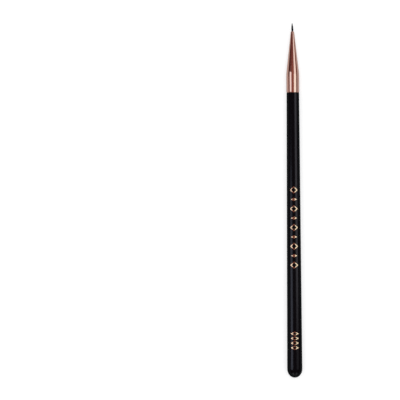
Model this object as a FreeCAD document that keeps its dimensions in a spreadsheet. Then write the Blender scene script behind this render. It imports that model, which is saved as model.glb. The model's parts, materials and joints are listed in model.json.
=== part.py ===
# Eyeliner brush: a turned, lacquered wooden handle, a thin metal ferrule glued on its tenon,
# and a fine pointed tuft of hair set in resin in the mouth of the ferrule.
# Every piece but the tuft is a turned form: an outline of radius against height, revolved about
# the piece's own Z axis, which points to the tip. The brush then lies on the surface it was put
# on, with its axis along +X. It touches at the widest ring of the butt and at the front end of
# the ferrule's parallel sleeve. The origin is on the surface, under the middle of its length.
# Lengths are in millimetres.
import FreeCAD
import Part
import Sketcher
import math
import os

SIZES = {
    # Handle: a long straight taper with an oval butt, up to the rim of the ferrule
    "handle_length": 140.5,
    "butt_radius": 3.74,
    "butt_length": 4.3,
    "handle_top_radius": 3.1,
    "shoulder_round": 0.35,
    # Tenon: the thinner end of the handle, in the parallel stretch of the ferrule's bore.
    # Its full width, and the glue, stop short of the bend by the setback
    "tenon_setback": 0.12,
    "tenon_bevel": 0.5,
    # Glue: the film between tenon and ferrule
    "glue_thickness": 0.12,
    # Ferrule: a parallel sleeve, a soft bend and a long cone to a narrow rounded mouth
    "ferrule_length": 30.1,
    "ferrule_radius": 3.18,
    "sleeve_length": 9.1,
    "bend_radius": 26.0,
    "mouth_radius": 0.8,
    "ferrule_wall": 0.35,
    "lip_round": 0.18,
    "lip_bevel": 0.08,
    "rim_bevel": 0.08,
    # Resin: the plug in the cone, from just inside the mouth to behind the roots of the hair
    "resin_recess": 0.4,
    "resin_behind_roots": 1.0,
    "resin_hollow": 0.3,
    # Tuft: the hair, from its roots in the resin to its point
    "hair_length": 4.4,
    "root_length": 9.0,
    "hair_clearance": 0.01,
    "hair_point_radius": 0.02,
    "tuft_lean": 0.07,
    "lock_count": 9,
    "lock_depth": 0.05,
}

# Sizes that follow from the others, as formulas of the sheet's names
HALF_CONE = (
    "atan((Sizes.ferrule_radius - Sizes.mouth_radius)"
    " / (Sizes.ferrule_length - Sizes.sleeve_length))"
)
FERRULE_BORE = "(Sizes.ferrule_radius - Sizes.ferrule_wall)"
MOUTH_BORE = f"(Sizes.mouth_radius - Sizes.ferrule_wall / cos({HALF_CONE}))"
PARALLEL_LENGTH = (
    f"(Sizes.sleeve_length - Sizes.bend_radius * tan({HALF_CONE} / 2))"
)
TENON_RADIUS = f"({FERRULE_BORE} - Sizes.glue_thickness)"
FILM_LENGTH = f"({PARALLEL_LENGTH} - Sizes.tenon_setback)"
RESIN_DEPTH = "(Sizes.root_length + Sizes.resin_behind_roots)"
HAIR_RADIUS = f"({MOUTH_BORE} - Sizes.hair_clearance)"
MOUTH_STATION = "(Sizes.handle_length + Sizes.ferrule_length)"
BRUSH_LENGTH = f"({MOUTH_STATION} + Sizes.hair_length)"

# The pose at rest: the butt is thicker than the ferrule, so the axis dips a little to the tip
FRONT_TOUCH = f"(Sizes.handle_length + {PARALLEL_LENGTH})"
DIP = (
    "atan((Sizes.butt_radius - Sizes.ferrule_radius)"
    f" / ({FRONT_TOUCH} - Sizes.butt_length))"
)

# The hair narrows to its point as (1 - share ** TUFT_POWER) ** TUFT_FALL of the mouth's radius
TUFT_POWER = 3
TUFT_FALL = 1.75
TUFT_SECTIONS = 7
POINTS_PER_LOCK = 4

ORIGIN = FreeCAD.Vector(0, 0, 0)
SIDEWAYS = FreeCAD.Vector(0, 1, 0)
UPWARD = FreeCAD.Vector(0, 0, 1)
CONVEX = 1
CONCAVE = -1
TOUCHING = 1e-4

doc = FreeCAD.newDocument("eyeliner_brush")


def write_sheet():
    """Put the driving dimensions in the document's sheet, one named cell each."""
    sheet = doc.addObject("Spreadsheet::Sheet", "Sizes")
    for row, (alias, value) in enumerate(SIZES.items(), start=1):
        sheet.set(f"A{row}", alias)
        sheet.set(f"B{row}", str(value))
        sheet.setAlias(f"B{row}", alias)
    doc.recompute()
    return sheet


def number(formula):
    """Give the present value of a formula of the sheet's names."""
    result = sheet.evalExpression(formula)
    return float(getattr(result, "Value", result))


def new_body(label):
    """Start a sub-part, named as its file will be."""
    body = doc.addObject("PartDesign::Body", label.title().replace("_", ""))
    body.Label = label
    return body


def outline(body, name, corners):
    """Draw a closed outline of a turned form in the body's upright plane.

    Each corner is (radius, height) as formulas, reached from the corner before it by a straight
    line, or (radius, height, bend, side) where an arc of radius bend reaches it. The outline
    runs anticlockwise, so a CONVEX arc swells out of the solid and a CONCAVE one into it.
    """
    sketch = body.newObject("Sketcher::SketchObject", name)
    upright = next(f for f in body.Origin.OriginFeatures if f.Role == "XZ_Plane")
    sketch.AttachmentSupport = [(upright, "")]
    sketch.MapMode = "FlatFace"
    places = [
        FreeCAD.Vector(number(corner[0]), number(corner[1]), 0) for corner in corners
    ]
    ends = []
    for index, corner in enumerate(corners):
        before, here = places[index - 1], places[index]
        if len(corner) == 2:
            edge = sketch.addGeometry(Part.LineSegment(before, here))
            ends.append((edge, 1, 2))
            continue
        _, _, bend, side = corner
        edge = sketch.addGeometry(bent_edge(before, here, number(bend), side))
        ends.append((edge, 1, 2) if side == CONVEX else (edge, 2, 1))
        held = sketch.addConstraint(
            Sketcher.Constraint("Radius", edge, number(bend))
        )
        sketch.setExpression(f"Constraints[{held}]", bend)
    for index, (edge, _, finish) in enumerate(ends):
        following, start, _ = ends[(index + 1) % len(ends)]
        sketch.addConstraint(
            Sketcher.Constraint("Coincident", edge, finish, following, start)
        )
        hold_corner(sketch, edge, finish, corners[index], places[index])
    return sketch


def bent_edge(before, here, bend, side):
    """Give the arc of radius bend between two corners; arcs always run anticlockwise."""
    first, last = (before, here) if side == CONVEX else (here, before)
    chord = last.sub(first)
    reach = math.sqrt(bend**2 - (chord.Length / 2) ** 2)
    inward = FreeCAD.Vector(-chord.y, chord.x, 0).normalize()
    centre = first.add(chord.multiply(0.5)).add(inward.multiply(reach))
    angles = [
        math.atan2(place.y - centre.y, place.x - centre.x) for place in (first, last)
    ]
    return Part.ArcOfCircle(Part.Circle(centre, UPWARD, bend), *angles)


def hold_corner(sketch, edge, end, corner, place):
    """Tie one corner to the sheet: its radius and its height, or the axes where they are 0."""
    horizontal_axis, vertical_axis = -1, -2
    if corner[0] == "0":
        sketch.addConstraint(
            Sketcher.Constraint("PointOnObject", edge, end, vertical_axis)
        )
    else:
        across = sketch.addConstraint(
            Sketcher.Constraint("DistanceX", edge, end, place.x)
        )
        sketch.setExpression(f"Constraints[{across}]", corner[0])
    if corner[1] == "0":
        sketch.addConstraint(
            Sketcher.Constraint("PointOnObject", edge, end, horizontal_axis)
        )
    else:
        along = sketch.addConstraint(
            Sketcher.Constraint("DistanceY", edge, end, place.y)
        )
        sketch.setExpression(f"Constraints[{along}]", corner[1])


def turn(body, name, sketch):
    """Revolve an outline about the piece's own axis."""
    turned = body.newObject("PartDesign::Revolution", name)
    turned.Profile = sketch
    turned.ReferenceAxis = (sketch, ["V_Axis"])
    turned.Angle = 360
    doc.recompute()
    return turned


def ring(feature, radius, height):
    """Name the circular edge of a feature that has this radius and height, both formulas."""
    for index, edge in enumerate(feature.Shape.Edges, start=1):
        if edge.Degenerated or not isinstance(edge.Curve, Part.Circle):
            continue
        same_radius = abs(edge.Curve.Radius - number(radius)) < TOUCHING
        same_height = abs(edge.Curve.Center.z - number(height)) < TOUCHING
        if same_radius and same_height:
            return f"Edge{index}"
    raise ValueError(f"no ring of radius {radius} at {height} on {feature.Name}")


def soften(body, name, kind, size_property, size, feature, rings):
    """Round or bevel some rings of a feature by a named size."""
    edges = [ring(feature, radius, height) for radius, height in rings]
    softened = body.newObject(kind, name)
    softened.Base = (feature, edges)
    softened.setExpression(size_property, size)
    doc.recompute()
    return softened


def round_off(body, name, size, feature, rings):
    """Round some rings of a feature to a radius."""
    return soften(body, name, "PartDesign::Fillet", "Radius", size, feature, rings)


def bevel(body, name, size, feature, rings):
    """Bevel some rings of a feature."""
    return soften(body, name, "PartDesign::Chamfer", "Size", size, feature, rings)


def lay_down(piece, station):
    """Lay a piece on the surface, its own origin this far along the brush from the butt."""
    piece.Placement = FreeCAD.Placement(ORIGIN, FreeCAD.Rotation(SIDEWAYS, 90))
    piece.setExpression("Placement.Rotation.Angle", f"90 deg + {DIP}")
    piece.setExpression(
        "Placement.Base.x", f"({station} - {BRUSH_LENGTH} / 2) * cos({DIP})"
    )
    piece.setExpression(
        "Placement.Base.z",
        f"(Sizes.butt_length - {station}) * sin({DIP}) + Sizes.butt_radius * cos({DIP})",
    )


def make_handle():
    """The handle, from its oval butt to the bevelled end of its tenon."""
    body = new_body("handle")
    # The butt is a quarter oval of two arcs that meet square to its diagonal
    diagonal = "sqrt(Sizes.butt_radius ^ 2 + Sizes.butt_length ^ 2)"
    stretch = "(Sizes.butt_length - Sizes.butt_radius)"
    nose_bend = f"({diagonal} * ({diagonal} - {stretch}) / (2 * Sizes.butt_length))"
    side_bend = f"({diagonal} * ({diagonal} + {stretch}) / (2 * Sizes.butt_radius))"
    tenon_end = f"Sizes.handle_length + {FILM_LENGTH} + Sizes.tenon_bevel"
    corners = [
        ("0", "0"),
        (
            f"{nose_bend} * Sizes.butt_length / {diagonal}",
            f"{nose_bend} * (1 - Sizes.butt_radius / {diagonal})",
            nose_bend,
            CONVEX,
        ),
        ("Sizes.butt_radius", "Sizes.butt_length", side_bend, CONVEX),
        ("Sizes.handle_top_radius", "Sizes.handle_length"),
        (TENON_RADIUS, "Sizes.handle_length"),
        (TENON_RADIUS, tenon_end),
        ("0", tenon_end),
    ]
    turned = turn(body, "TurnedHandle", outline(body, "HandleOutline", corners))
    shoulder = [("Sizes.handle_top_radius", "Sizes.handle_length")]
    rounded = round_off(
        body, "RoundedShoulder", "Sizes.shoulder_round", turned, shoulder
    )
    bevel(
        body, "BevelledTenon", "Sizes.tenon_bevel", rounded, [(TENON_RADIUS, tenon_end)]
    )
    lay_down(body, "0")
    return body


def make_glue():
    """The film of glue round the tenon, from the shoulder to the tenon's bevel."""
    body = new_body("tenon_glue")
    corners = [
        (TENON_RADIUS, "0"),
        (FERRULE_BORE, "0"),
        (FERRULE_BORE, FILM_LENGTH),
        (TENON_RADIUS, FILM_LENGTH),
    ]
    turn(body, "GlueFilm", outline(body, "FilmOutline", corners))
    lay_down(body, "Sizes.handle_length")
    return body


def make_ferrule():
    """The ferrule: one thin wall, drawn from a sleeve to a cone with a rounded lip."""
    body = new_body("ferrule")
    # Outside and inside bend about one centre, so the wall keeps its thickness
    outer_bend = "Sizes.bend_radius"
    inner_bend = "(Sizes.bend_radius - Sizes.ferrule_wall)"
    corners = [
        (FERRULE_BORE, "0"),
        ("Sizes.ferrule_radius", "0"),
        ("Sizes.ferrule_radius", PARALLEL_LENGTH),
        (
            f"Sizes.ferrule_radius - {outer_bend} * (1 - cos({HALF_CONE}))",
            f"{PARALLEL_LENGTH} + {outer_bend} * sin({HALF_CONE})",
            outer_bend,
            CONVEX,
        ),
        ("Sizes.mouth_radius", "Sizes.ferrule_length"),
        (MOUTH_BORE, "Sizes.ferrule_length"),
        (
            f"{FERRULE_BORE} - {inner_bend} * (1 - cos({HALF_CONE}))",
            f"{PARALLEL_LENGTH} + {inner_bend} * sin({HALF_CONE})",
        ),
        (FERRULE_BORE, PARALLEL_LENGTH, inner_bend, CONCAVE),
    ]
    turned = turn(body, "DrawnFerrule", outline(body, "WallOutline", corners))
    lip = [("Sizes.mouth_radius", "Sizes.ferrule_length")]
    rounded = round_off(body, "RoundedLip", "Sizes.lip_round", turned, lip)
    mouth = [(MOUTH_BORE, "Sizes.ferrule_length")]
    opened = bevel(body, "BevelledMouth", "Sizes.lip_bevel", rounded, mouth)
    rim = [("Sizes.ferrule_radius", "0")]
    bevel(body, "BevelledRim", "Sizes.rim_bevel", opened, rim)
    lay_down(body, "Sizes.handle_length")
    return body


def make_resin():
    """The plug of resin that fills the cone round the roots; its back is a hollow meniscus."""
    body = new_body("root_resin")
    back_radius = f"({MOUTH_BORE} + {RESIN_DEPTH} * tan({HALF_CONE}))"
    front_radius = f"({MOUTH_BORE} + Sizes.resin_recess * tan({HALF_CONE}))"
    plug_length = f"({RESIN_DEPTH} - Sizes.resin_recess)"
    meniscus = f"({back_radius} ^ 2 + Sizes.resin_hollow ^ 2) / (2 * Sizes.resin_hollow)"
    corners = [
        ("0", "Sizes.resin_hollow"),
        (back_radius, "0", meniscus, CONCAVE),
        (front_radius, plug_length),
        (HAIR_RADIUS, plug_length),
        (HAIR_RADIUS, "Sizes.resin_behind_roots"),
        ("0", "Sizes.resin_behind_roots"),
    ]
    turn(body, "CastPlug", outline(body, "PlugOutline", corners))
    lay_down(body, f"({MOUTH_STATION} - {RESIN_DEPTH})")
    return body


def lock_ring(share):
    """One closed section of the visible hair, at this share of its length from the mouth."""
    mouth_radius = number(HAIR_RADIUS)
    point_radius = number("Sizes.hair_point_radius")
    narrowing = (1 - share**TUFT_POWER) ** TUFT_FALL
    radius = point_radius + (mouth_radius - point_radius) * narrowing
    depth = number("Sizes.lock_depth") * narrowing * (1 - (1 - share) ** TUFT_POWER)
    lean = number("Sizes.tuft_lean") * share**2
    locks = int(number("Sizes.lock_count"))
    places = []
    for step in range(locks * POINTS_PER_LOCK):
        angle = 2 * math.pi * step / (locks * POINTS_PER_LOCK)
        reach = radius - depth * (1 - math.cos(locks * angle)) / 2
        places.append(
            FreeCAD.Vector(
                reach * math.cos(angle),
                reach * math.sin(angle) + lean,
                share * number("Sizes.hair_length"),
            )
        )
    curve = Part.BSplineCurve()
    curve.interpolate(places, PeriodicFlag=True)
    return Part.Wire(curve.toShape())


def make_tuft():
    """The hair: a round root, and locks that leave the mouth, part and close to a point."""
    rings = [lock_ring(index / TUFT_SECTIONS) for index in range(TUFT_SECTIONS + 1)]
    visible = Part.makeLoft(rings, True, True)
    roots = Part.Face(rings[0]).extrude(UPWARD * -number("Sizes.root_length"))
    tuft = doc.addObject("Part::Feature", "BristleTuft")
    tuft.Label = "bristle_tuft"
    tuft.Shape = visible.fuse(roots).removeSplitter()
    lay_down(tuft, MOUTH_STATION)
    return tuft


def check(pieces):
    """Stop if any step failed, or if a piece isn't one sound solid."""
    for item in doc.Objects:
        faults = {"Invalid", "Error"} & set(item.State)
        if faults:
            raise RuntimeError(f"{item.Label} is {faults}")
    for piece in pieces:
        shape = piece.Shape
        if shape.isNull() or not shape.isValid() or len(shape.Solids) != 1:
            raise RuntimeError(f"{piece.Label} isn't one valid solid")


sheet = write_sheet()
pieces = [make_handle(), make_glue(), make_ferrule(), make_resin(), make_tuft()]
doc.recompute()
check(pieces)
os.makedirs("parts", exist_ok=True)
for piece in pieces:
    piece.Shape.exportStep(f"parts/{piece.Label}.step")
    box = piece.Shape.optimalBoundingBox(True, False)
    print(
        f"{piece.Label}: {piece.Shape.Volume:.3f} mm3,"
        f" x {box.XMin:.3f} to {box.XMax:.3f},"
        f" y {box.YMin:.3f} to {box.YMax:.3f}, z {box.ZMin:.3f} to {box.ZMax:.3f}"
    )
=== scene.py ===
# The looks of the eyeliner brush: black lacquer, a polished rose-gold ferrule, foil ornament and
# single hairs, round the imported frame. The brush lies on a pale floor and the camera looks
# straight down on it. Lengths are in metres unless a name says otherwise.
import json
import math
import random
from collections import namedtuple

import bpy
from mathutils import Matrix, Vector


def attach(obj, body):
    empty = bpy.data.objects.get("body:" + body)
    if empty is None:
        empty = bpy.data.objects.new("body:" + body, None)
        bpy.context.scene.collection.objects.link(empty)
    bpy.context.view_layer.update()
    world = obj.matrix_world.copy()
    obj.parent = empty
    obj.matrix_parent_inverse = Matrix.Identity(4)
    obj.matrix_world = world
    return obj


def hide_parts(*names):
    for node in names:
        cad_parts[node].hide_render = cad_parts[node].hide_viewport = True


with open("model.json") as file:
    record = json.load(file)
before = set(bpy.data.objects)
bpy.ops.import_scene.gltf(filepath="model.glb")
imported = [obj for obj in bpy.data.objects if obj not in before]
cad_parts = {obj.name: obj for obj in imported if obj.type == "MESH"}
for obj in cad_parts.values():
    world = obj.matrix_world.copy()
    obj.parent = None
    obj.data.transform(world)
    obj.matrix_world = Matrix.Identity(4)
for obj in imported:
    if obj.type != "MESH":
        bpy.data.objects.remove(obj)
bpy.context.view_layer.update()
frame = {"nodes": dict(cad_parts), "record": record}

MM = 0.001

# Sizes of the brush. A station is a distance along the brush, from its butt

BRUSH_LENGTH = 175.0 * MM
HANDLE_LENGTH = 140.5 * MM
BUTT_RADIUS = 3.74 * MM
BUTT_LENGTH = 4.3 * MM
HANDLE_TOP_RADIUS = 3.1 * MM
SHOULDER_ROUND = 0.35 * MM
TENON_RADIUS = 2.71 * MM
TENON_LENGTH = 8.0 * MM
TENON_BEVEL = 0.5 * MM
FERRULE_LENGTH = 30.1 * MM
FERRULE_WALL = 0.35 * MM
SLEEVE_LENGTH = 9.1 * MM
BEND_RADIUS = 26.0 * MM
MOUTH_RADIUS = 0.8 * MM
LIP_ROUND = 0.18 * MM
RIM_ROUND = 0.08 * MM
MOUTH_STATION = HANDLE_LENGTH + FERRULE_LENGTH

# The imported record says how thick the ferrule's sleeve is and how the brush's axis lies
sleeve_mount = next(m for m in frame["record"]["mounts"] if m["name"] == "ferrule_sleeve")
FERRULE_RADIUS = sleeve_mount["dims"]["r_mm"] * MM
ALONG = Vector(sleeve_mount["axis"]).normalized()
LEFT = Vector((0, 1, 0))
UP = ALONG.cross(LEFT)
DIP = math.asin(-ALONG.z)

# The butt's widest ring rests on the floor, and the middle of the brush is over the origin
BUTT_END = Vector(
    (
        -BRUSH_LENGTH / 2 * math.cos(DIP),
        0,
        BUTT_LENGTH * math.sin(DIP) + BUTT_RADIUS * math.cos(DIP),
    )
)

# The photograph's frame: its width in pixels, the size of one pixel, where the middle of the
# brush shows in it, the row in which the butt ends, and how far the brush leans to the left

PHOTO_WIDTH_PX = 400
PIXEL = 0.4928 * MM
BRUSH_MIDDLE_PX = (293.6, 200.05)
BUTT_END_PX = 377.6
LEAN = math.radians(0.399)

# Shapes

ROUND_STEPS = 128
SHARP_DEGREES = 30
# Two points that are closer than this are one
SAME_POINT = 1e-7
# A point that is nearer to the axis than this is on it
ON_AXIS = 1e-9


def outward(angle):
    """The direction away from the axis at an angle, which is counted from the top to the left."""
    return UP * math.cos(angle) + LEFT * math.sin(angle)


def place(station, radius, angle):
    """The point at a station, a distance from the axis and an angle."""
    return BUTT_END + ALONG * station + outward(angle) * radius


def between(start, end, share):
    """The point at a share of the way from one point of a plane to another."""
    return (
        start[0] + (end[0] - start[0]) * share,
        start[1] + (end[1] - start[1]) * share,
    )


def run(start, end, steps):
    """Points (station, radius) evenly along a straight line, both ends included."""
    return [between(start, end, step / steps) for step in range(steps + 1)]


def arc(centre, radius, start, end, steps):
    """Points (station, radius) of an arc in the plane of an outline, angles in degrees."""
    points = []
    for step in range(steps + 1):
        angle = math.radians(start + (end - start) * step / steps)
        points.append(
            (centre[0] + radius * math.cos(angle), centre[1] + radius * math.sin(angle))
        )
    return points


def without_repeats(points):
    """Leave out each point that repeats the one before it."""
    kept = []
    for point in points:
        if kept and math.dist(kept[-1], point) < SAME_POINT:
            continue
        kept.append(point)
    return kept


def new_object(name, data):
    """Make an object of a mesh, a lamp or a camera, and put it in the scene."""
    made = bpy.data.objects.new(name, data)
    bpy.context.scene.collection.objects.link(made)
    return made


def new_mesh(name, vertices, faces, sharp_degrees=SHARP_DEGREES):
    """Make an object of vertices and faces, smooth but for its sharp edges."""
    mesh = bpy.data.meshes.new(name)
    mesh.from_pydata([tuple(v) for v in vertices], [], faces)
    mesh.validate()
    mesh.polygons.foreach_set("use_smooth", [True] * len(mesh.polygons))
    mesh.set_sharp_from_angle(angle=math.radians(sharp_degrees))
    mesh.update()
    return new_object(name, mesh)


def lathe(name, outline, closed=False):
    """Turn an outline of (station, radius) points about the brush's axis.

    An open outline starts and ends on the axis; a closed one is the section of a tube's wall.
    """
    vertices = []
    rings = []
    for station, radius in outline:
        if radius < ON_AXIS:
            rings.append([len(vertices)])
            vertices.append(place(station, 0, 0))
            continue
        first = len(vertices)
        rings.append(list(range(first, first + ROUND_STEPS)))
        for step in range(ROUND_STEPS):
            vertices.append(place(station, radius, 2 * math.pi * step / ROUND_STEPS))
    pairs = list(zip(rings, rings[1:]))
    if closed:
        pairs.append((rings[-1], rings[0]))
    faces = []
    for here, there in pairs:
        for step in range(ROUND_STEPS):
            following = (step + 1) % ROUND_STEPS
            if len(here) == 1:
                faces.append((here[0], there[step], there[following]))
            elif len(there) == 1:
                faces.append((here[step], there[0], here[following]))
            else:
                faces.append((here[step], there[step], there[following], here[following]))
    return new_mesh(name, vertices, faces)


# Nodes of the materials, the floor and the room

WHITE = (1, 1, 1)


def feed(tree, socket, value):
    """Link a socket to another node's output, or set it to a number or a colour."""
    if isinstance(value, bpy.types.NodeSocket):
        tree.links.new(value, socket)
    elif isinstance(value, tuple):
        socket.default_value = (*value, 1)
    else:
        socket.default_value = value


def worked_out(tree, operation, *values):
    """The result of one step of arithmetic on numbers or other nodes' outputs."""
    node = tree.nodes.new("ShaderNodeMath")
    node.operation = operation
    for socket, value in zip(node.inputs, values):
        feed(tree, socket, value)
    return node.outputs["Value"]


def mapped(tree, value, from_range, to_range=(0, 1), smooth=False):
    """Map a value from one range to another, and hold it at the ends."""
    node = tree.nodes.new("ShaderNodeMapRange")
    if smooth:
        node.interpolation_type = "SMOOTHSTEP"
    node.inputs["From Min"].default_value = from_range[0]
    node.inputs["From Max"].default_value = from_range[1]
    node.inputs["To Min"].default_value = to_range[0]
    node.inputs["To Max"].default_value = to_range[1]
    tree.links.new(value, node.inputs["Value"])
    return node.outputs["Result"]


def mixed_colour(tree, share, first, second):
    """Go from the first colour to the second by a share."""
    node = tree.nodes.new("ShaderNodeMix")
    node.data_type = "RGBA"
    tree.links.new(share, node.inputs["Factor"])
    feed(tree, node.inputs["A"], first)
    feed(tree, node.inputs["B"], second)
    return node.outputs["Result"]


def new_material(name):
    """Start a node material, and give its tree and its main shader with it."""
    material = bpy.data.materials.new(name)
    material.use_nodes = True
    tree = material.node_tree
    return material, tree, tree.nodes["Principled BSDF"]


# Materials. Each one's colour and roughness vary with a noise of so many waves a metre along
# the brush, across it and upwards

NOISE_ROUGHNESS = 0.55
# Nearly all the values of a noise lie in this range
NOISE_RANGE = (0.3, 0.7)


def noise(tree, waves_per_metre, detail):
    """A noise's value at each place on the object."""
    source = tree.nodes.new("ShaderNodeTexCoord")
    mapping = tree.nodes.new("ShaderNodeMapping")
    mapping.inputs["Scale"].default_value = waves_per_metre
    tree.links.new(source.outputs["Object"], mapping.inputs["Vector"])
    texture = tree.nodes.new("ShaderNodeTexNoise")
    texture.inputs["Scale"].default_value = 1.0
    texture.inputs["Detail"].default_value = detail
    texture.inputs["Roughness"].default_value = NOISE_ROUGHNESS
    tree.links.new(mapping.outputs["Vector"], texture.inputs["Vector"])
    return texture.outputs["Fac"]


def varied_material(name, waves_per_metre, detail, colours, roughness, metallic=0.0):
    """A material between two colours and two roughnesses, with its tree, shader and noise."""
    material, tree, shader = new_material(name)
    variation = noise(tree, waves_per_metre, detail)
    colour = mixed_colour(tree, variation, *colours)
    tree.links.new(colour, shader.inputs["Base Color"])
    tree.links.new(mapped(tree, variation, NOISE_RANGE, roughness), shader.inputs["Roughness"])
    shader.inputs["Metallic"].default_value = metallic
    return material, tree, shader, variation


def add_relief(tree, shader, height, depth, strength):
    """Give a shader fine relief from a height."""
    bump = tree.nodes.new("ShaderNodeBump")
    bump.inputs["Distance"].default_value = depth
    bump.inputs["Strength"].default_value = strength
    tree.links.new(height, bump.inputs["Height"])
    tree.links.new(bump.outputs["Normal"], shader.inputs["Normal"])


LACQUER_GLOSS = 0.2
LACQUER_EDGE_GLOSS = 0.015
# How far the lacquer has turned away from the eye where its gloss starts to fade and where it
# has faded
LACQUER_TURNED_AWAY = (0.15, 0.42)
# How high the lacquer's slow waves are, and the share of that for its orange peel
LACQUER_WAVES = 0.03 * MM
LACQUER_PEEL_SHARE = 0.05


def lacquer_material():
    """Black semi-gloss lacquer over turned wood: faint grain, slow waves and fine orange peel."""
    material, tree, shader, _ = varied_material(
        "black_lacquer",
        waves_per_metre=(40, 900, 900),
        detail=4,
        colours=((0.0003, 0.0009, 0.0018), (0.0008, 0.0018, 0.0030)),
        roughness=(0.17, 0.22),
    )
    # The satin coat hardly mirrors the floor where it turns away from the eye
    turned_away = tree.nodes.new("ShaderNodeLayerWeight").outputs["Facing"]
    gloss = mapped(tree, turned_away, LACQUER_TURNED_AWAY, (LACQUER_GLOSS, LACQUER_EDGE_GLOSS))
    # A program that can't follow the link takes the gloss from the socket itself
    shader.inputs["Specular IOR Level"].default_value = LACQUER_GLOSS
    tree.links.new(gloss, shader.inputs["Specular IOR Level"])
    waves = noise(tree, waves_per_metre=(120, 350, 350), detail=1)
    peel = noise(tree, waves_per_metre=(1400, 1400, 1400), detail=2)
    relief = worked_out(tree, "MULTIPLY_ADD", peel, LACQUER_PEEL_SHARE, waves)
    add_relief(tree, shader, relief, depth=LACQUER_WAVES, strength=1.0)
    return material


def rose_gold_material():
    """Polished rose-gold metal, with the faint turned lines of its making and a slight haze."""
    material, tree, shader, _ = varied_material(
        "rose_gold",
        waves_per_metre=(220, 500, 500),
        detail=4,
        colours=((0.77, 0.465, 0.38), (0.81, 0.495, 0.41)),
        roughness=(0.06, 0.10),
        metallic=1.0,
    )
    lines = noise(tree, waves_per_metre=(26000, 60, 60), detail=3)
    add_relief(tree, shader, lines, depth=0.0005 * MM, strength=0.25)
    return material


def foil_material():
    """Hot-stamped rose-gold foil, with tiny pinholes of thinner foil."""
    material, tree, shader, grain = varied_material(
        "rose_gold_foil",
        waves_per_metre=(3000, 3000, 3000),
        detail=3,
        colours=((0.80, 0.51, 0.33), (0.88, 0.58, 0.40)),
        roughness=(0.13, 0.22),
        metallic=1.0,
    )
    add_relief(tree, shader, grain, depth=0.0015 * MM, strength=0.3)
    return material


HAIR_GLOSS = 0.28


def hair_material():
    """Fine black synthetic hair, with streaks that are a little lighter, bluer and duller."""
    material, _, shader, _ = varied_material(
        "black_hair",
        waves_per_metre=(300, 12000, 12000),
        detail=2,
        colours=((0.005, 0.005, 0.007), (0.012, 0.013, 0.018)),
        roughness=(0.34, 0.48),
    )
    shader.inputs["Specular IOR Level"].default_value = HAIR_GLOSS
    return material


def resin_material():
    """Cast amber resin, clouded by fine bubbles."""
    return varied_material(
        "amber_resin",
        waves_per_metre=(900, 900, 900),
        detail=3,
        colours=((0.42, 0.26, 0.09), (0.62, 0.42, 0.18)),
        roughness=(0.12, 0.25),
    )[0]


def glue_material():
    """Dried wood glue, cream and slightly uneven."""
    return varied_material(
        "dried_glue",
        waves_per_metre=(700, 700, 700),
        detail=3,
        colours=((0.62, 0.52, 0.28), (0.75, 0.66, 0.42)),
        roughness=(0.45, 0.65),
    )[0]


# The handle. The steps are those of its outline, from the butt to the tenon

NOSE_STEPS = 14
BUTT_SIDE_STEPS = 12
TAPER_STEPS = 48
SHOULDER_STEPS = 10


def handle_radius(station):
    """The handle's radius on its long taper."""
    share = (station - BUTT_LENGTH) / (HANDLE_LENGTH - BUTT_LENGTH)
    return BUTT_RADIUS + (HANDLE_TOP_RADIUS - BUTT_RADIUS) * share


def make_handle():
    """The lacquered handle with its oval butt, rounded shoulder and tenon."""
    # The butt is a quarter oval of two arcs. Where they meet, both run parallel to the line from
    # the oval's nose to its widest ring
    diagonal = math.hypot(BUTT_RADIUS, BUTT_LENGTH)
    stretch = BUTT_LENGTH - BUTT_RADIUS
    nose = diagonal * (diagonal - stretch) / (2 * BUTT_LENGTH)
    side = diagonal * (diagonal + stretch) / (2 * BUTT_RADIUS)
    meeting = 180 - math.degrees(math.atan2(BUTT_LENGTH, BUTT_RADIUS))
    taper_start = (BUTT_LENGTH, BUTT_RADIUS)
    taper_end = (HANDLE_LENGTH - SHOULDER_ROUND, HANDLE_TOP_RADIUS)
    shoulder = (HANDLE_LENGTH - SHOULDER_ROUND, HANDLE_TOP_RADIUS - SHOULDER_ROUND)
    tenon_end = HANDLE_LENGTH + TENON_LENGTH
    outline = without_repeats(
        arc((nose, 0), nose, 180, meeting, NOSE_STEPS)
        + arc((BUTT_LENGTH, BUTT_RADIUS - side), side, meeting, 90, BUTT_SIDE_STEPS)
        + run(taper_start, taper_end, TAPER_STEPS)
        + arc(shoulder, SHOULDER_ROUND, 90, 0, SHOULDER_STEPS)
        + [
            (HANDLE_LENGTH, TENON_RADIUS),
            (tenon_end - TENON_BEVEL, TENON_RADIUS),
            (tenon_end, TENON_RADIUS - TENON_BEVEL),
            (tenon_end, 0),
        ]
    )
    handle = lathe("handle_lacquered", outline)
    handle.data.materials.append(lacquer_material())
    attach(handle, "root")
    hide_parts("handle")
    return handle


# The ferrule. The steps are those of its wall's outline

RIM_STEPS = 5
SLEEVE_STEPS = 10
BEND_STEPS = 12
CONE_STEPS = 24
LIP_STEPS = 8
INNER_LIP_STEPS = 4


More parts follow.
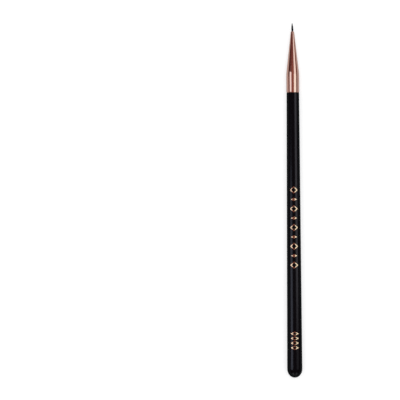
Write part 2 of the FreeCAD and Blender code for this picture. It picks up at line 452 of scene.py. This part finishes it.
def make_ferrule():
    """The polished ferrule: sleeve, soft bend, long cone and rounded mouth, all one thin wall."""
    half_cone = math.atan((FERRULE_RADIUS - MOUTH_RADIUS) / (FERRULE_LENGTH - SLEEVE_LENGTH))
    bend_end = 90 - math.degrees(half_cone)
    bend_station = HANDLE_LENGTH + SLEEVE_LENGTH - BEND_RADIUS * math.tan(half_cone / 2)
    bend_centre = (bend_station, FERRULE_RADIUS - BEND_RADIUS)
    outside_bend = arc(bend_centre, BEND_RADIUS, 90, bend_end, BEND_STEPS)
    inside_bend = arc(bend_centre, BEND_RADIUS - FERRULE_WALL, bend_end, 90, BEND_STEPS)
    # The lip's rounding touches the cone and the flat of the mouth
    lip_reach = LIP_ROUND * math.tan(math.radians(45) - half_cone / 2)
    lip_centre = (MOUTH_STATION - LIP_ROUND, MOUTH_RADIUS - lip_reach)
    lip = arc(lip_centre, LIP_ROUND, bend_end, 0, LIP_STEPS)
    mouth_bore = MOUTH_RADIUS - FERRULE_WALL / math.cos(half_cone)
    inner_round = LIP_ROUND / 2
    inner_lip_centre = (MOUTH_STATION - inner_round, mouth_bore + inner_round)
    inner_lip = arc(inner_lip_centre, inner_round, 0, -90, INNER_LIP_STEPS)
    rim_centre = (HANDLE_LENGTH + RIM_ROUND, FERRULE_RADIUS - RIM_ROUND)
    sleeve_start = (HANDLE_LENGTH + RIM_ROUND, FERRULE_RADIUS)
    outline = without_repeats(
        [(HANDLE_LENGTH, FERRULE_RADIUS - FERRULE_WALL)]
        + arc(rim_centre, RIM_ROUND, 180, 90, RIM_STEPS)
        + run(sleeve_start, outside_bend[0], SLEEVE_STEPS)
        + outside_bend
        + run(outside_bend[-1], lip[0], CONE_STEPS)
        + lip
        + inner_lip
        + run(inner_lip[-1], inside_bend[0], CONE_STEPS)
        + inside_bend
    )
    ferrule = lathe("ferrule_polished", outline, closed=True)
    ferrule.data.materials.append(rose_gold_material())
    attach(ferrule, "root")
    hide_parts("ferrule")
    return ferrule, mouth_bore


# The tuft of hair

HAIR_COUNT = 320
HAIR_SEED = 11
# How far the tuft stands out of the mouth, and how far its hairs reach back into it
HAIR_LENGTH = 4.4 * MM
HAIR_INSIDE = 1.6 * MM
HAIR_RADIUS = 0.03 * MM
HAIR_TIP_RADIUS = 0.006 * MM
HAIR_SIDES = 6
HAIR_STEPS = 20
HAIR_SHARP_DEGREES = 70
# A hair thins to its tip by this power of the way along it
HAIR_THINNING_POWER = 4
# How far a hair may wave, and how many radians of wave there are over the tuft's length
HAIR_WAVE = 0.012 * MM
HAIR_WAVE_TURN = 5
# The most by which a hair ends short of the tip, as a share of the tuft's length: an outermost
# one, and any one
OUTER_HAIR_SHORT = 0.15
ANY_HAIR_SHORT = 0.02
# The tuft fills the mouth but for a clearance, and is fullest at a share of its length
ROOT_CLEARANCE = 0.012 * MM
BELLY_SHARE = 0.15
BELLY_RADIUS = 0.53 * MM
# From the belly it narrows to its point by one power of the share and another of what is left
POINT_RADIUS = 0.03 * MM
NARROWING_POWER = 3
POINT_POWER = 1.25
# Its point leans to the left, by a power of the share
TUFT_LEAN = 0.14 * MM
LEAN_POWER = 1.2


def tuft_radius(share, root_radius):
    """The tuft's radius at a share of its length from the mouth: it swells, then narrows."""
    swelling = min(share / BELLY_SHARE, 1)
    smooth_swelling = swelling * swelling * (3 - 2 * swelling)
    full = root_radius + (BELLY_RADIUS - root_radius) * smooth_swelling
    narrowing = (1 - share**NARROWING_POWER) ** POINT_POWER
    return POINT_RADIUS + (full - POINT_RADIUS) * narrowing


def hair_line(random_source, root_radius):
    """The line of one hair: list of (station past the mouth, left, up, hair radius)."""
    reach = math.sqrt(random_source.random())
    angle = random_source.uniform(0, 2 * math.pi)
    outer_short = OUTER_HAIR_SHORT * reach**2 * random_source.random()
    ends_at = 1 - outer_short - ANY_HAIR_SHORT * random_source.random()
    wave = random_source.uniform(-1, 1) * HAIR_WAVE
    wave_start = random_source.uniform(0, 2 * math.pi)
    line = []
    for step in range(HAIR_STEPS + 1):
        along = step / HAIR_STEPS
        station = -HAIR_INSIDE + (ends_at * HAIR_LENGTH + HAIR_INSIDE) * along
        share = max(station / HAIR_LENGTH, 0)
        thinning = 1 - along**HAIR_THINNING_POWER
        thickness = HAIR_TIP_RADIUS + (HAIR_RADIUS - HAIR_TIP_RADIUS) * thinning
        room = max(tuft_radius(share, root_radius) - thickness, 0)
        bend = wave * share * math.sin(wave_start + HAIR_WAVE_TURN * share)
        lean = TUFT_LEAN * share**LEAN_POWER
        left = reach * room * math.sin(angle) + lean + bend
        up = reach * room * math.cos(angle) + bend
        line.append((station, left, up, thickness))
    return line


def make_tuft(mouth_bore):
    """The tuft, hair by hair: parallel at the mouth, bellied, and drawn to one fine point."""
    random_source = random.Random(HAIR_SEED)
    root_radius = mouth_bore - ROOT_CLEARANCE
    vertices = []
    faces = []
    for _ in range(HAIR_COUNT):
        first = len(vertices)
        line = hair_line(random_source, root_radius)
        for station, left, up, thickness in line:
            middle = BUTT_END + ALONG * (MOUTH_STATION + station) + LEFT * left + UP * up
            for side in range(HAIR_SIDES):
                vertices.append(middle + outward(2 * math.pi * side / HAIR_SIDES) * thickness)
        for step in range(HAIR_STEPS):
            here = first + step * HAIR_SIDES
            there = here + HAIR_SIDES
            for side in range(HAIR_SIDES):
                following = (side + 1) % HAIR_SIDES
                faces.append((here + side, there + side, there + following, here + following))
        last = first + HAIR_STEPS * HAIR_SIDES
        faces.append(tuple(first + side for side in range(HAIR_SIDES)))
        faces.append(tuple(last + side for side in reversed(range(HAIR_SIDES))))
    tuft = new_mesh("tuft_hairs", vertices, faces, HAIR_SHARP_DEGREES)
    tuft.data.materials.append(hair_material())
    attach(tuft, "root")
    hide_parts("bristle_tuft")
    return tuft


# The foil ornament: a row of lozenges and, near the butt, a short band of narrow ones

# How far the foil's face stands over the lacquer, and how far its back lies under it
FOIL_LIFT = 0.018 * MM
FOIL_ROOT = 0.03 * MM
# Half the length and half the width of each kind of lozenge, and its stroke, or None if solid
LARGE_LOZENGE = (1.75 * MM, 2.05 * MM, 0.42 * MM)
SMALL_LOZENGE = (0.8 * MM, 1.55 * MM, None)
NARROW_LOZENGE = (1.02 * MM, 2.15 * MM, 0.34 * MM)
# For the row and the band: the pixel row in which the first lozenge's middle shows, how far it
# is from each lozenge to the next, and how many there are
ROW_TOP_PX = 190.0
ROW_PITCH = 4.62 * MM
ROW_COUNT = 9
BAND_TOP_PX = 333.4
BAND_PITCH = 2.32 * MM
BAND_COUNT = 4
# The steps along a lozenge's side, across its stroke, and from a solid one's edge to its middle
LOZENGE_SIDE_STEPS = 14
STROKE_STEPS = 4
SOLID_STEPS = 8
# The least share of a lozenge that its opening takes
LEAST_OPENING = 0.05
# A ring of a lozenge that is smaller than this share is its middle point
MIDDLE_SHARE = 1e-6


def station_at_pixel(row_px):
    """The station that shows at this pixel row of the photograph."""
    return (BUTT_END_PX - row_px) * PIXEL


def lozenge(station, half_long, half_wide, stroke, vertices, normals, faces):
    """Add a lozenge that hugs the handle, an outline of this stroke or solid where it is None.

    It is a closed skin: a face just over the lacquer, and walls and a back under it.
    """
    corners = [(half_long, 0), (0, half_wide), (-half_long, 0), (0, -half_wide)]
    inner_share = 0.0
    across_steps = SOLID_STEPS
    if stroke is not None:
        inradius = half_long * half_wide / math.hypot(half_long, half_wide)
        inner_share = max(1 - stroke / inradius, LEAST_OPENING)
        across_steps = STROKE_STEPS
    rim = []
    for corner, following in zip(corners, corners[1:] + corners[:1]):
        rim += run(corner, following, LOZENGE_SIDE_STEPS)[:-1]

    def put(along, across, lift):
        here = station + along
        radius = handle_radius(here)
        angle = across / radius
        vertices.append(place(here, radius + lift, angle))
        normals.append(outward(angle))
        return len(vertices) - 1

    def rings(lift):
        made = []
        for step in range(across_steps + 1):
            scale = 1 + (inner_share - 1) * step / across_steps
            if scale < MIDDLE_SHARE:
                made.append([put(0, 0, lift)])
            else:
                made.append([put(a * scale, c * scale, lift) for a, c in rim])
        return made

    def skin(first, second, turned):
        for step in range(len(rim)):
            following = (step + 1) % len(rim)
            if len(second) == 1:
                face = (first[step], first[following], second[0])
            else:
                face = (first[step], first[following], second[following], second[step])
            faces.append(tuple(reversed(face)) if turned else face)

    top = rings(FOIL_LIFT)
    back = rings(-FOIL_ROOT)
    for outer, inner in zip(top, top[1:]):
        skin(outer, inner, False)
    for outer, inner in zip(back, back[1:]):
        skin(outer, inner, True)
    skin(back[0], top[0], False)
    if stroke is not None:
        skin(top[-1], back[-1], False)


def make_foil():
    """The foil ornament on the top of the handle."""
    foil = foil_material()
    row = ([], [], [])
    row_top = station_at_pixel(ROW_TOP_PX)
    for index in range(ROW_COUNT):
        kind = LARGE_LOZENGE if index % 2 == 0 else SMALL_LOZENGE
        lozenge(row_top - index * ROW_PITCH, *kind, *row)
    band = ([], [], [])
    band_top = station_at_pixel(BAND_TOP_PX)
    for index in range(BAND_COUNT):
        lozenge(band_top - index * BAND_PITCH, *NARROW_LOZENGE, *band)
    pieces = []
    for name, (vertices, normals, faces) in (
        ("foil_lozenge_row", row),
        ("foil_lozenge_band", band),
    ):
        piece = new_mesh(name, vertices, faces)
        piece.data.normals_split_custom_set_from_vertices(normals)
        piece.data.materials.append(foil)
        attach(piece, "root")
        pieces.append(piece)
    return pieces


def dress_hidden_pieces():
    """Finish the two adhesive pieces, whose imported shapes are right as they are."""
    for node, material in (
        ("root_resin", resin_material()),
        ("tenon_glue", glue_material()),
    ):
        mesh = frame["nodes"][node].data
        mesh.materials.clear()
        mesh.materials.append(material)


# The floor

FLOOR_HALF = 4.0
FLOOR_COLOUR = (0.56, 0.56, 0.56)
FLOOR_ROUGHNESS = 0.9
# How strongly the floor glows by itself for each kind of ray
FLOOR_GLOW = (
    ("Is Camera Ray", 0.56),
    ("Is Transmission Ray", 0.56),
    ("Is Glossy Ray", 0.05),
)


def make_floor():
    """A plain pale floor that shows white to the camera and keeps the shadow."""
    material, tree, shader = new_material("floor_white")
    feed(tree, shader.inputs["Base Color"], FLOOR_COLOUR)
    feed(tree, shader.inputs["Roughness"], FLOOR_ROUGHNESS)
    feed(tree, shader.inputs["Specular IOR Level"], 0.0)
    feed(tree, shader.inputs["Emission Color"], WHITE)
    rays = tree.nodes.new("ShaderNodeLightPath")
    glow = 0.0
    for ray, strength in FLOOR_GLOW:
        glow = worked_out(tree, "MULTIPLY_ADD", rays.outputs[ray], strength, glow)
    tree.links.new(glow, shader.inputs["Emission Strength"])
    half = FLOOR_HALF
    corners = [(-half, -half, 0), (half, -half, 0), (half, half, 0), (-half, half, 0)]
    mesh = bpy.data.meshes.new("floor")
    mesh.from_pydata(corners, [], [(0, 1, 2, 3)])
    mesh.materials.append(material)
    floor = new_object("floor", mesh)


# The room

FILL_COLOUR = (0.5, 0.5, 0.51)
CEILING = (0.19, 0.078, 0.073)
# What gloss shows of the room, by the sine of the height above the horizon: the pale backdrop,
# a dark band over it, and a dim warm ceiling. The sleeve sees what lies square to the brush, and
# the cone a place ahead of that, where the band is lower, and darker on the left
ROOM_HEIGHTS = (
    (0.03, (0.76, 0.72, 0.69)),
    (0.06, (0.13, 0.016, 0.006)),
    (0.27, (0.13, 0.022, 0.008)),
    (0.55, (0.14, 0.045, 0.030)),
    (1.0, CEILING),
)
DARK_CORNER_HEIGHTS = (
    (0.02, (0.60, 0.50, 0.48)),
    (0.04, (0.05, 0.016, 0.013)),
    (0.27, (0.06, 0.020, 0.016)),
    (0.55, (0.11, 0.045, 0.040)),
    (1.0, CEILING),
)
# Over which part of the direction's X the room changes from square to ahead, and over which part
# of its Y from right to left
AHEAD = (0.02, 0.15)
LEFTWARD = (-0.6, 0.6)
# How much lower the band is ahead, and on the right
LOWER_AHEAD = 0.06
LOWER_RIGHT = 0.03
# Past the brush's two ends the room has walls, pale at the foot and dim above
WALL_HEIGHTS = (
    (0.0, (0.80, 0.78, 0.77)),
    (0.12, (0.62, 0.58, 0.57)),
    (0.34, (0.28, 0.20, 0.19)),
    (0.6, (0.14, 0.065, 0.060)),
    (1.0, CEILING),
)
# Over which part of the direction's X, to either side, the walls come in
WALLS = (0.62, 0.85)


def colours_by_height(tree, height, stops):
    """The colour at a height, from a list of (height, colour)."""
    node = tree.nodes.new("ShaderNodeValToRGB")
    elements = node.color_ramp.elements
    elements[0].position = stops[0][0]
    elements[0].color = (*stops[0][1], 1)
    elements[1].position = stops[-1][0]
    elements[1].color = (*stops[-1][1], 1)
    for stop, colour in stops[1:-1]:
        elements.new(stop).color = (*colour, 1)
    tree.links.new(height, node.inputs["Fac"])
    return node.outputs["Color"]


def make_world():
    """White to the camera, a soft fill to matt surfaces, and a dim warm room in the gloss."""
    world = bpy.data.worlds.new("studio")
    bpy.context.scene.world = world
    world.use_nodes = True
    tree = world.node_tree
    source = tree.nodes.new("ShaderNodeTexCoord")
    split = tree.nodes.new("ShaderNodeSeparateXYZ")
    tree.links.new(source.outputs["Generated"], split.inputs["Vector"])
    forward, left, up = (split.outputs[axis] for axis in "XYZ")
    # The dark band comes lower on the right and where the cone looks ahead
    ahead = mapped(tree, forward, AHEAD)
    height = worked_out(tree, "MULTIPLY_ADD", left, -LOWER_RIGHT, up)
    height = worked_out(tree, "MULTIPLY_ADD", ahead, LOWER_AHEAD, height)
    dark_corner = worked_out(tree, "MULTIPLY", ahead, mapped(tree, left, LEFTWARD))
    room = mixed_colour(
        tree,
        dark_corner,
        colours_by_height(tree, height, ROOM_HEIGHTS),
        colours_by_height(tree, height, DARK_CORNER_HEIGHTS),
    )
    past_an_end = mapped(tree, worked_out(tree, "ABSOLUTE", forward), WALLS, smooth=True)
    walls = colours_by_height(tree, up, WALL_HEIGHTS)
    room = mixed_colour(tree, past_an_end, room, walls)
    rays = tree.nodes.new("ShaderNodeLightPath").outputs
    lit = mixed_colour(tree, rays["Is Glossy Ray"], FILL_COLOUR, room)
    sees_white = worked_out(
        tree, "MAXIMUM", rays["Is Camera Ray"], rays["Is Transmission Ray"]
    )
    colour = mixed_colour(tree, sees_white, lit, WHITE)
    tree.links.new(colour, tree.nodes["Background"].inputs["Color"])


# Lamps

STRIP_DISTANCE = 0.35
LEFT_SIDE = 1
RIGHT_SIDE = -1

# A strip's name and side, the angles from the vertical in degrees between which the brush sees
# it, its start and end along X, its radiance and colour, and the pieces that it lights
Strip = namedtuple("Strip", "name side from_angle to_angle start end radiance colour lights")
STRIPS = (
    Strip("right_metal", RIGHT_SIDE, 19, 62, -0.13, 0.115, 1.3, (0.76, 1.03, 1.035), "bright"),
    Strip("right_cone", RIGHT_SIDE, 22, 61.5, 0.115, 0.27, 1.13, (0.80, 1.03, 1.07), "bright"),
    Strip("right_lacquer", RIGHT_SIDE, 28, 63, -0.060, 0.27, 2.2, (0.98, 0.96, 1.08), "handle"),
    Strip("right_butt_lacquer", RIGHT_SIDE, 28, 63, -0.13, -0.060, 0.4, (0.98, 0.96, 1.08), "handle"),
    Strip("left_metal", LEFT_SIDE, 26, 58, 0.03, 0.143, 1.2, (0.79, 1.0, 1.10), "ferrule"),
    Strip("left_lacquer", LEFT_SIDE, 27, 60, -0.13, 0.013, 2.5, (0.80, 0.86, 1.1), "handle"),
    Strip("left_foil", LEFT_SIDE, 25, 57, -0.13, 0.013, 1.4, (0.79, 1.0, 1.08), "foil"),
)
# More strips stand past the tip and past the butt, the same on both sides: their names, starts
# and ends along X, radiance, colour and pieces, and the angles of them all
END_STRIPS = (
    ("past_tip_metal", 0.36, 1.1, 1.0, (0.85, 1.0, 1.02), "metal"),
    ("past_tip_lacquer", 0.36, 1.1, 5.0, (0.95, 0.97, 1.05), "handle"),
    ("past_butt_metal", -1.1, -0.36, 1.0, (0.85, 1.0, 1.02), "metal"),
    ("past_butt_lacquer", -1.1, -0.45, 1.5, (0.95, 0.97, 1.05), "handle"),
)
END_ANGLES = (24, 56)


def stand(thing, middle, right, up, backward):
    """Put a lamp or a camera in its place and turn its own axes to these directions."""
    turn = Matrix((right, up, backward)).transposed().to_4x4()
    thing.matrix_world = Matrix.Translation(middle) @ turn


def make_lamp(name, middle, target, size, radiance, colour=WHITE, in_gloss=True):
    """A rectangular lamp whose first side lies along X, aimed at a target.

    It shows only in gloss or lights only matt surfaces. Its radiance is the brightness that a
    mirror shows; 1 is white.
    """
    data = bpy.data.lights.new(name, "AREA")
    data.shape = "RECTANGLE"
    data.size, data.size_y = size
    data.energy = radiance * math.pi * size[0] * size[1]
    data.color = colour
    lamp = new_object(name, data)
    backward = (Vector(middle) - Vector(target)).normalized()
    right = Vector((1, 0, 0))
    stand(lamp, Vector(middle), right, backward.cross(right).normalized(), backward)
    lamp.visible_camera = False
    lamp.visible_glossy = in_gloss
    lamp.visible_diffuse = not in_gloss
    return lamp


def strip_light(strip):
    """A lamp along the brush for a strip, square to the middle of its two angles."""
    middle_angle = math.radians((strip.from_angle + strip.to_angle) / 2)
    half_angle = math.radians(strip.to_angle - strip.from_angle) / 2
    width = 2 * STRIP_DISTANCE * math.tan(half_angle)
    height = STRIP_DISTANCE * math.cos(middle_angle)
    sideways = strip.side * STRIP_DISTANCE * math.sin(middle_angle)
    along = (strip.start + strip.end) / 2
    return make_lamp(
        strip.name,
        middle=(along, sideways, height),
        target=(along, 0, BUTT_RADIUS),
        size=(strip.end - strip.start, width),
        radiance=strip.radiance,
        colour=strip.colour,
    )


def light_only(lamp, pieces):
    """Let a lamp light these pieces alone."""
    receivers = bpy.data.collections.new(lamp.name + "_receivers")
    for piece in pieces:
        receivers.objects.link(piece)
    lamp.light_linking.receiver_collection = receivers


def make_lights(handle, ferrule, foil_pieces, tuft):
    """A soft overhead light, and strips on both sides, of their own for metal and lacquer."""
    make_lamp(
        "overhead",
        middle=(0, 0, 1.2),
        target=(0, 0, 0),
        size=(1.6, 1.6),
        radiance=1.3,
        in_gloss=False,
    )
    # A dim warm card overhead shows in the sleeve and the cone's lower half
    card = make_lamp(
        "warm_card",
        middle=(0.008, 0, 0.35),
        target=(0.008, 0, 0),
        size=(0.316, 0.26),
        radiance=1.0,
        colour=(0.115, 0.058, 0.040),
    )
    light_only(card, [ferrule])
    lit = {
        "handle": [handle],
        "ferrule": [ferrule],
        "foil": foil_pieces,
        "metal": [ferrule] + foil_pieces,
        "bright": [ferrule, tuft] + foil_pieces,
    }
    strips = list(STRIPS)
    for name, *rest in END_STRIPS:
        strips.append(Strip("right_" + name, RIGHT_SIDE, *END_ANGLES, *rest))
        strips.append(Strip("left_" + name, LEFT_SIDE, *END_ANGLES, *rest))
    for strip in strips:
        light_only(strip_light(strip), lit[strip.lights])


# The camera

CAMERA_HEIGHT = 1.6
CAMERA_SEES_TO = 20.0
SENSOR_WIDTH_MM = 36.0


def make_camera():
    """Look straight down at the photograph's frame, turned so that the brush leans as it does."""
    across = (BRUSH_MIDDLE_PX[0] - PHOTO_WIDTH_PX / 2) * PIXEL
    upward = (PHOTO_WIDTH_PX / 2 - BRUSH_MIDDLE_PX[1]) * PIXEL
    image_up = Vector((math.cos(LEAN), -math.sin(LEAN), 0))
    image_right = Vector((-math.sin(LEAN), -math.cos(LEAN), 0))
    backward = Vector((0, 0, 1))
    middle = place(BRUSH_LENGTH / 2, 0, 0) - image_right * across - image_up * upward
    data = bpy.data.cameras.new("camera")
    data.sensor_width = SENSOR_WIDTH_MM
    data.lens = SENSOR_WIDTH_MM * CAMERA_HEIGHT / (PHOTO_WIDTH_PX * PIXEL)
    data.clip_end = CAMERA_SEES_TO
    camera = new_object("camera", data)
    stand(camera, middle + backward * CAMERA_HEIGHT, image_right, image_up, backward)
    bpy.context.scene.camera = camera


# Make the scene

handle = make_handle()
ferrule, mouth_bore = make_ferrule()
tuft = make_tuft(mouth_bore)
foil_pieces = make_foil()
dress_hidden_pieces()
make_floor()
make_world()
make_lights(handle, ferrule, foil_pieces, tuft)
make_camera()
bpy.context.scene.view_settings.view_transform = "Standard"
